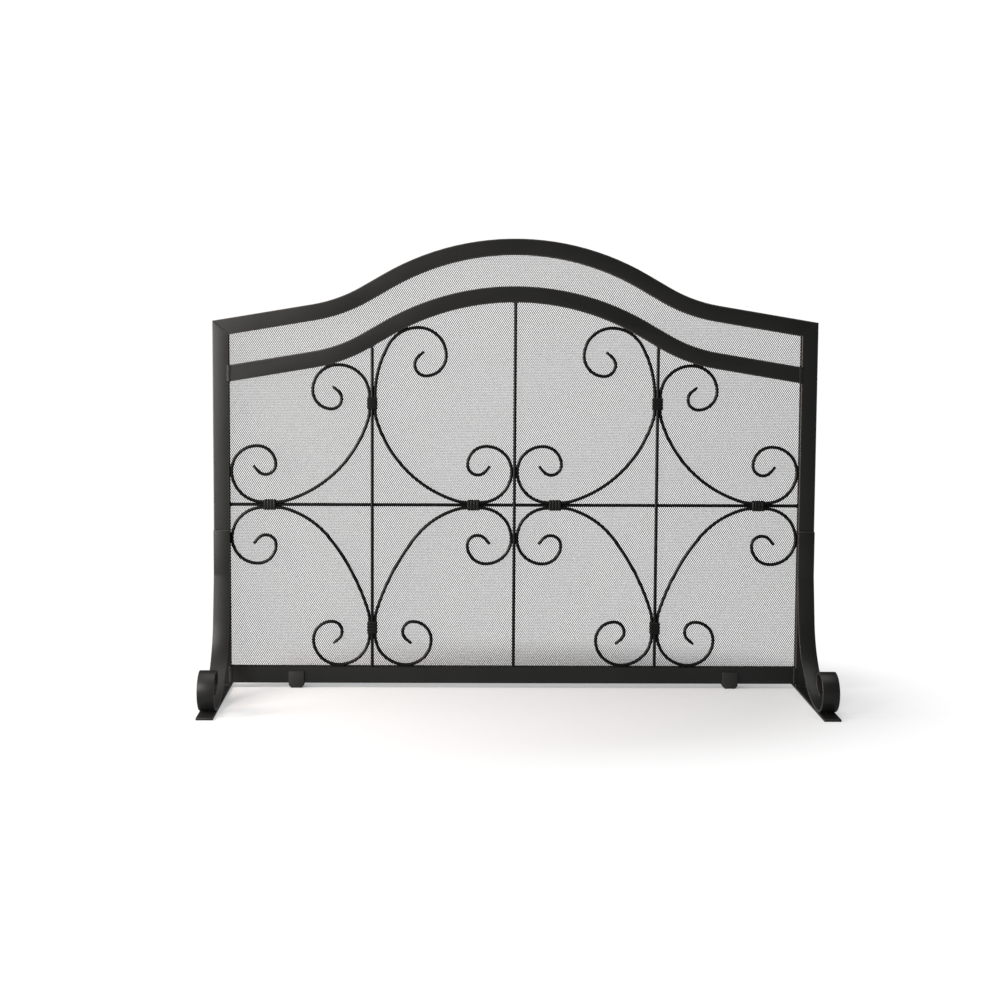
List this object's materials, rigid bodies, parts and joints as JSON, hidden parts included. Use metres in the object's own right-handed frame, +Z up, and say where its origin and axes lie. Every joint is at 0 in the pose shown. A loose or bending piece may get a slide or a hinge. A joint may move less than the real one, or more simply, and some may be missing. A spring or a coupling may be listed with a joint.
{
  "type": "fireplace screen",
  "caption": "Flat-guard fireplace screen: arched tube frame with mesh behind it, two scrolled rod medallions, and scrolled legs on flat foot bars.",
  "frame": {"origin": "centre of the footprint on the floor, under the middle of the foot bars", "axes": "+X across the screen to the viewer's right, +Y from front to back, +Z up"},
  "size_m": [1.1176, 0.3238, 0.8381],
  "materials": {
    "frame": "satin black powder coat on steel tube",
    "feet": "satin black powder coat on flat steel bar",
    "scrolls": "satin black powder coat on bent round rod",
    "straight_rods": "satin black powder coat on round rod",
    "collars": "satin black powder coat on pressed bands",
    "mesh": "black woven steel mesh",
    "retainers": "satin black powder coat on flat steel strip",
    "screws": "black zinc-plated screws",
    "glides": "matt black moulded nylon"
  },
  "bodies": {
    "root": {"arch_mesh_retainer": "retainers", "bottom_mesh_retainer": "retainers", "bottom_rail": "frame", "centre_rod": "straight_rods", "cross_rod": "straight_rods", "left_bottom_collar": "collars", "left_foot_bar": "feet", "left_inner_collar": "collars", "left_leg_strap": "feet", "left_lower_inner_scroll": "scrolls", "left_lower_outer_scroll": "scrolls", "left_mesh_retainer": "retainers", "left_outer_collar": "collars", "left_post": "frame", "left_rail_glide": "glides", "left_rod": "straight_rods", "left_top_collar": "collars", "left_upper_inner_scroll": "scrolls", "left_upper_outer_scroll": "scrolls", "lower_arch_rail": "frame", "mesh_sheet": "mesh", "right_bottom_collar": "collars", "right_foot_bar": "feet", "right_inner_collar": "collars", "right_leg_strap": "feet", "right_lower_inner_scroll": "scrolls", "right_lower_outer_scroll": "scrolls", "right_mesh_retainer": "retainers", "right_outer_collar": "collars", "right_post": "frame", "right_rail_glide": "glides", "right_rod": "straight_rods", "right_top_collar": "collars", "right_upper_inner_scroll": "scrolls", "right_upper_outer_scroll": "scrolls", "strip_screws": "screws", "top_arch_rail": "frame"}
  },
  "joints": []
}
